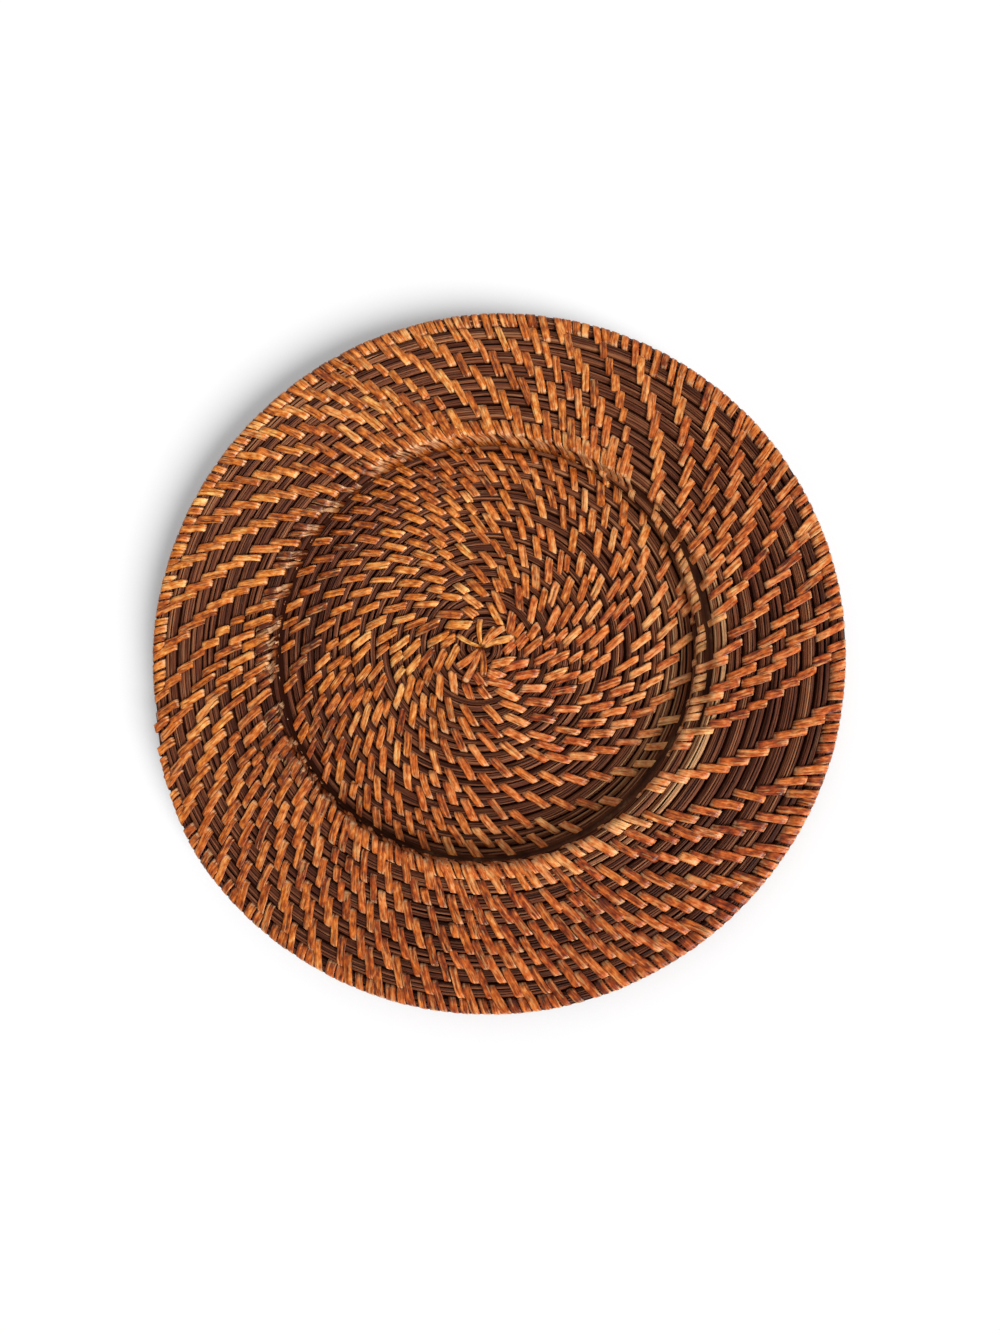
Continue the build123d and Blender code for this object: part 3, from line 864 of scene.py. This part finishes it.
# One wrap between two strips, but up to four where they lie side by side
parts = [
    between(first, last, STEP_SPACING, STEP_ASIDE, most)
    for first, last, most in ((WRAPS_START, CROWDED_TURN, 1), (CROWDED_TURN, WRAPS_END, 4))
]
wraps, apart = np.concatenate(parts, axis=1)
stitches(
    "step_wraps_cane", wraps, ["step_wraps"], apart * STEP_SHARE, STEP_LEAN, SADDLE, tilt=1.5,
    own=True, flare=sloping(wraps),
)
wall = TURNS[(TURNS >= WALL_TURN) & (TURNS < WRAPS_START)]
stitches(
    "wall_lashing_cane", wall, ["wall_lashing"], WALL_WIDE, WALL_LEAN, WRAP * (1.06, 1.0), own=True,
)
climbing = TURNS[(TURNS >= WALL_TURN - CLIMB) & (TURNS < WALL_TURN)]
stitches("climb_cane", climbing, [], WALL_WIDE, CLIMB_LEAN, WRAP, own=True)


def build_hub():
    """The strips over the start of the coil, from the middle outward."""
    share = np.linspace(0, 1, 14)
    height = np.interp(share, [0, 0.12, 0.4, 0.8, 0.93, 1], [4.8, 5.5, 6.1, 6.15, 5.5, 4.2])
    width_share = np.interp(share, [0, 0.25, 0.7, 1], [0.5, 0.85, 1.08, 1.05])
    bend = 0.9 * np.sin(np.pi * share * 0.9)
    first, layer = 0.2, 0.12  # start from the middle, and each of three layers over the one below
    paths, widths = [], []
    for number, (degrees, reach, width) in enumerate(HUB):
        a = math.radians(degrees)
        r = first + (reach - first) * share
        x, y = r * math.cos(a) - bend * math.sin(a), r * math.sin(a) + bend * math.cos(a)
        paths.append(np.stack([x, y, height + layer * (number % 3)], -1) + CENTRE)
        widths.append(width * width_share)
    out = np.tile([0.0, 0.0, 1.0], (len(HUB), len(share), 1))
    thick = np.full(out.shape[:2], STRIP_THICK)
    # Painted shade at both ends, where the strips go down, and painted highlights at the bends
    # before them
    depth = np.tile(ease(np.maximum(0.15 - share, share - 0.9) * 10), (len(HUB), 1))
    looks = rng.normal(0.55, 0.12, len(HUB)), rng.random(len(HUB)), depth
    ribbons(
        "hub_lashing_cane", np.array(paths), out, np.array(widths), thick, looks, ["hub_lashing"],
    )


build_hub()


# Camera: over the south-east of the plate, a little off the vertical, image up along +Y
SENSOR = 36
FOCAL = 750 / 1330  # focal length as a share of the picture's height
DISTANCE, TILT, AZIMUTH = 0.364, math.radians(8.9), math.radians(-44.56)
target = Vector((0.00706, -0.0073, 0.0035))
away = Vector((
    math.sin(TILT) * math.cos(AZIMUTH), math.sin(TILT) * math.sin(AZIMUTH), math.cos(TILT),
))
camera = bpy.data.objects.new("camera", bpy.data.cameras.new("camera"))
bpy.context.scene.collection.objects.link(camera)
right = (-away).cross(Vector((0, 1, 0))).normalized()
up = right.cross(-away)
turned = Matrix((right, up, away)).transposed().to_4x4()
camera.matrix_world = Matrix.Translation(target + away * DISTANCE) @ turned
camera.data.sensor_fit = "VERTICAL"
camera.data.sensor_height = SENSOR
camera.data.lens = SENSOR * FOCAL
camera.data.clip_start = 0.01
bpy.context.scene.camera = camera


# Floor, light and background
FLOOR_WHITE, FLOOR_GLOW = (0.86, 0.86, 0.865, 1), 0.12
WORLD_LIGHT, WORLD_SEEN = 0.24, 1.0  # what it lights with, and what the camera sees


def stage_material():
    """A white floor that the camera sees a little lighter than it lights the plate."""
    material, tree, bsdf = shader("pale_floor")
    bsdf.inputs["Base Color"].default_value = FLOOR_WHITE
    bsdf.inputs["Roughness"].default_value = 0.9
    bsdf.inputs["Specular IOR Level"].default_value = 0.1
    path = tree.nodes.new("ShaderNodeLightPath")
    seen = math_node(tree, "MAXIMUM", path.outputs["Is Camera Ray"], path.outputs["Is Glossy Ray"])
    strength = math_node(tree, "MULTIPLY", seen, FLOOR_GLOW)
    tree.links.new(strength, bsdf.inputs["Emission Strength"])
    bsdf.inputs["Emission Color"].default_value = WHITE
    return material


bpy.ops.mesh.primitive_plane_add(size=6, location=(0, 0, 0))
floor = bpy.context.object
floor.name = "floor"
floor.data.materials.append(stage_material())


def lamp(name, azimuth, elevation, softness, strength):
    """A sun, with its direction and width in degrees."""
    light = bpy.data.lights.new(name, "SUN")
    light.angle, light.energy = math.radians(softness), strength
    obj = bpy.data.objects.new(name, light)
    bpy.context.scene.collection.objects.link(obj)
    a, e = math.radians(azimuth), math.radians(elevation)
    obj.location = Vector((math.cos(a) * math.cos(e), math.sin(a) * math.cos(e), math.sin(e)))
    obj.rotation_euler = obj.location.to_track_quat("Z", "Y").to_euler()


lamp("key", azimuth=-44, elevation=34, softness=28, strength=3.9)
lamp("fill", azimuth=100, elevation=60, softness=60, strength=0.45)

world = bpy.data.worlds.new("studio")
bpy.context.scene.world = world
world.use_nodes = True
tree = world.node_tree
background = tree.nodes["Background"]
path = tree.nodes.new("ShaderNodeLightPath")
seen = math_node(tree, "MAXIMUM", path.outputs["Is Camera Ray"], path.outputs["Is Glossy Ray"])
strength = wire(tree, "ShaderNodeMapRange", {0: seen, 3: WORLD_LIGHT, 4: WORLD_SEEN})
tree.links.new(strength, background.inputs["Strength"])
background.inputs["Color"].default_value = WHITE
bpy.context.scene.view_settings.view_transform = "Standard"
